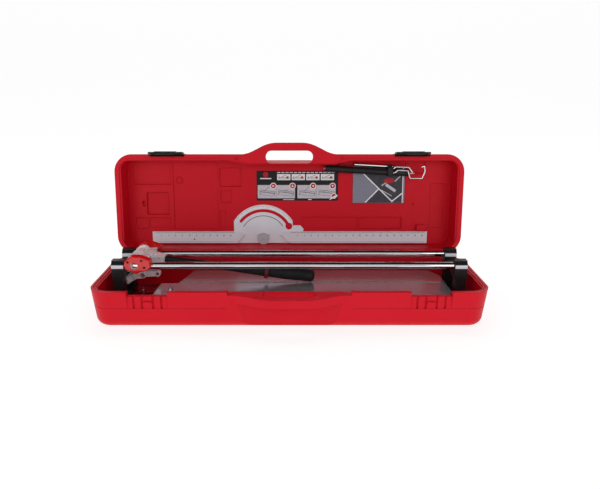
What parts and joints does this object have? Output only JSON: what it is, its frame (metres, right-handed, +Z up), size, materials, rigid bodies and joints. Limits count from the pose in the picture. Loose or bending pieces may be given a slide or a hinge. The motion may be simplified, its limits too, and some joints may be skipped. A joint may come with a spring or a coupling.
{
  "type": "tile cutter",
  "caption": "Manual twin-rail tile cutter in its open red carrying case, with folding lever, sprung bed and the stored angle stop and support arm.",
  "frame": {"origin": "centre of the case underside, on the floor", "axes": "+X along the rails to the right, +Y from the carrying handle to the hinges, +Z up"},
  "size_m": [0.96, 0.4213, 0.4068],
  "materials": {
    "case_red": "blow-moulded polyethylene, fine grain",
    "housing_red": "glossy moulded",
    "black_cast": "satin black powder coat",
    "beam_grey": "dark metallic paint",
    "black_screws": "black oxide",
    "black_plastic": "matt black moulded",
    "black_rubber": "matt",
    "chrome": "polished",
    "cast_aluminium": "bead-blasted casting",
    "anodised": "satin anodised",
    "bed_grey": "smooth, glossy grey",
    "steel": "brushed",
    "carbide": "ground",
    "bronze": "sintered",
    "paper": "coated print",
    "sticker": "printed vinyl",
    "dark_red": "matt"
  },
  "bodies": {
    "case": {"case_base": "case_red", "hinge_pins": "steel"},
    "lid": {"case_lid": "case_red", "latch_pins": "steel", "instruction_sticker": "sticker", "booklet": "paper", "support_arm_sleeve": "black_plastic", "support_arm_core": "steel", "support_arm_collar": "black_plastic", "support_arm_rod": "chrome", "support_arm_wires": "chrome"},
    "latch_l": {"latch_left": "black_plastic"},
    "latch_r": {"latch_right": "black_plastic"},
    "stop": {"stop_protractor": "anodised", "stop_rule_left": "anodised", "stop_rule_right": "anodised", "stop_hub": "anodised", "stop_pivot_rivet": "steel"},
    "cutter": {"end_support_left": "black_cast", "end_support_right": "black_cast", "rail_front": "chrome", "rail_back": "chrome", "rail_bands": "anodised", "end_screws": "steel", "base_beam": "beam_grey", "bed_brackets": "black_cast", "bed_buffers": "black_rubber", "breaking_rib": "steel", "bed_plate_front": "bed_grey", "bed_plate_back": "bed_grey", "bed_studs": "steel", "rubber_feet": "black_rubber"},
    "carriage": {"carriage_body": "cast_aluminium", "slide_bushes": "bronze", "carriage_cover_front": "housing_red", "carriage_cover_back": "housing_red", "cover_screws": "black_screws", "pivot_pin": "steel"},
    "handle": {"lever_head": "cast_aluminium", "hold_magnet": "steel", "foot_pin": "steel", "handle_tube": "black_cast", "handle_grip": "black_rubber", "lever_bumper": "dark_red", "wheel_axle": "steel"},
    "wheel": {"scoring_wheel": "carbide"},
    "foot": {"breaker_foot": "cast_aluminium", "foot_pads": "black_plastic"}
  },
  "joints": [
    {"name": "lid_hinge", "type": "hinge", "parent": "case", "child": "lid", "pos_m": [0, 0.144, 0.095], "axis": [-1, 0, 0], "range_deg": [-96.5, 0]},
    {"name": "latch_left_hinge", "type": "hinge", "parent": "lid", "child": "latch_l", "pos_m": [-0.336, 0.18972, 0.37261], "axis": [-1, 0, 0], "range_deg": [-3, 95]},
    {"name": "latch_right_hinge", "type": "hinge", "parent": "lid", "child": "latch_r", "pos_m": [0.336, 0.18972, 0.37261], "axis": [-1, 0, 0], "range_deg": [-3, 95]},
    {"name": "stop_lift", "type": "slide", "parent": "lid", "child": "stop", "axis": [0, -0.9936, 0.1132], "range_m": [0, 0.05]},
    {"name": "cutter_lift", "type": "slide", "parent": "case", "child": "cutter", "axis": [0, 0, 1], "range_m": [0, 0.2]},
    {"name": "carriage_slide", "type": "slide", "parent": "cutter", "child": "carriage", "axis": [1, 0, 0], "range_m": [0, 0.32]},
    {"name": "handle_pivot", "type": "hinge", "parent": "carriage", "child": "handle", "pos_m": [-0.379, 0.012, 0.142], "axis": [0, -1, 0], "range_deg": [0, 100]},
    {"name": "wheel_spin", "type": "hinge", "parent": "handle", "child": "wheel", "pos_m": [-0.4, 0.012, 0.0894], "axis": [0, -1, 0], "continuous": true},
    {"name": "foot_pivot", "type": "hinge", "parent": "handle", "child": "foot", "pos_m": [-0.377, 0.012, 0.09], "axis": [0, -1, 0], "range_deg": [-10, 12]}
  ]
}
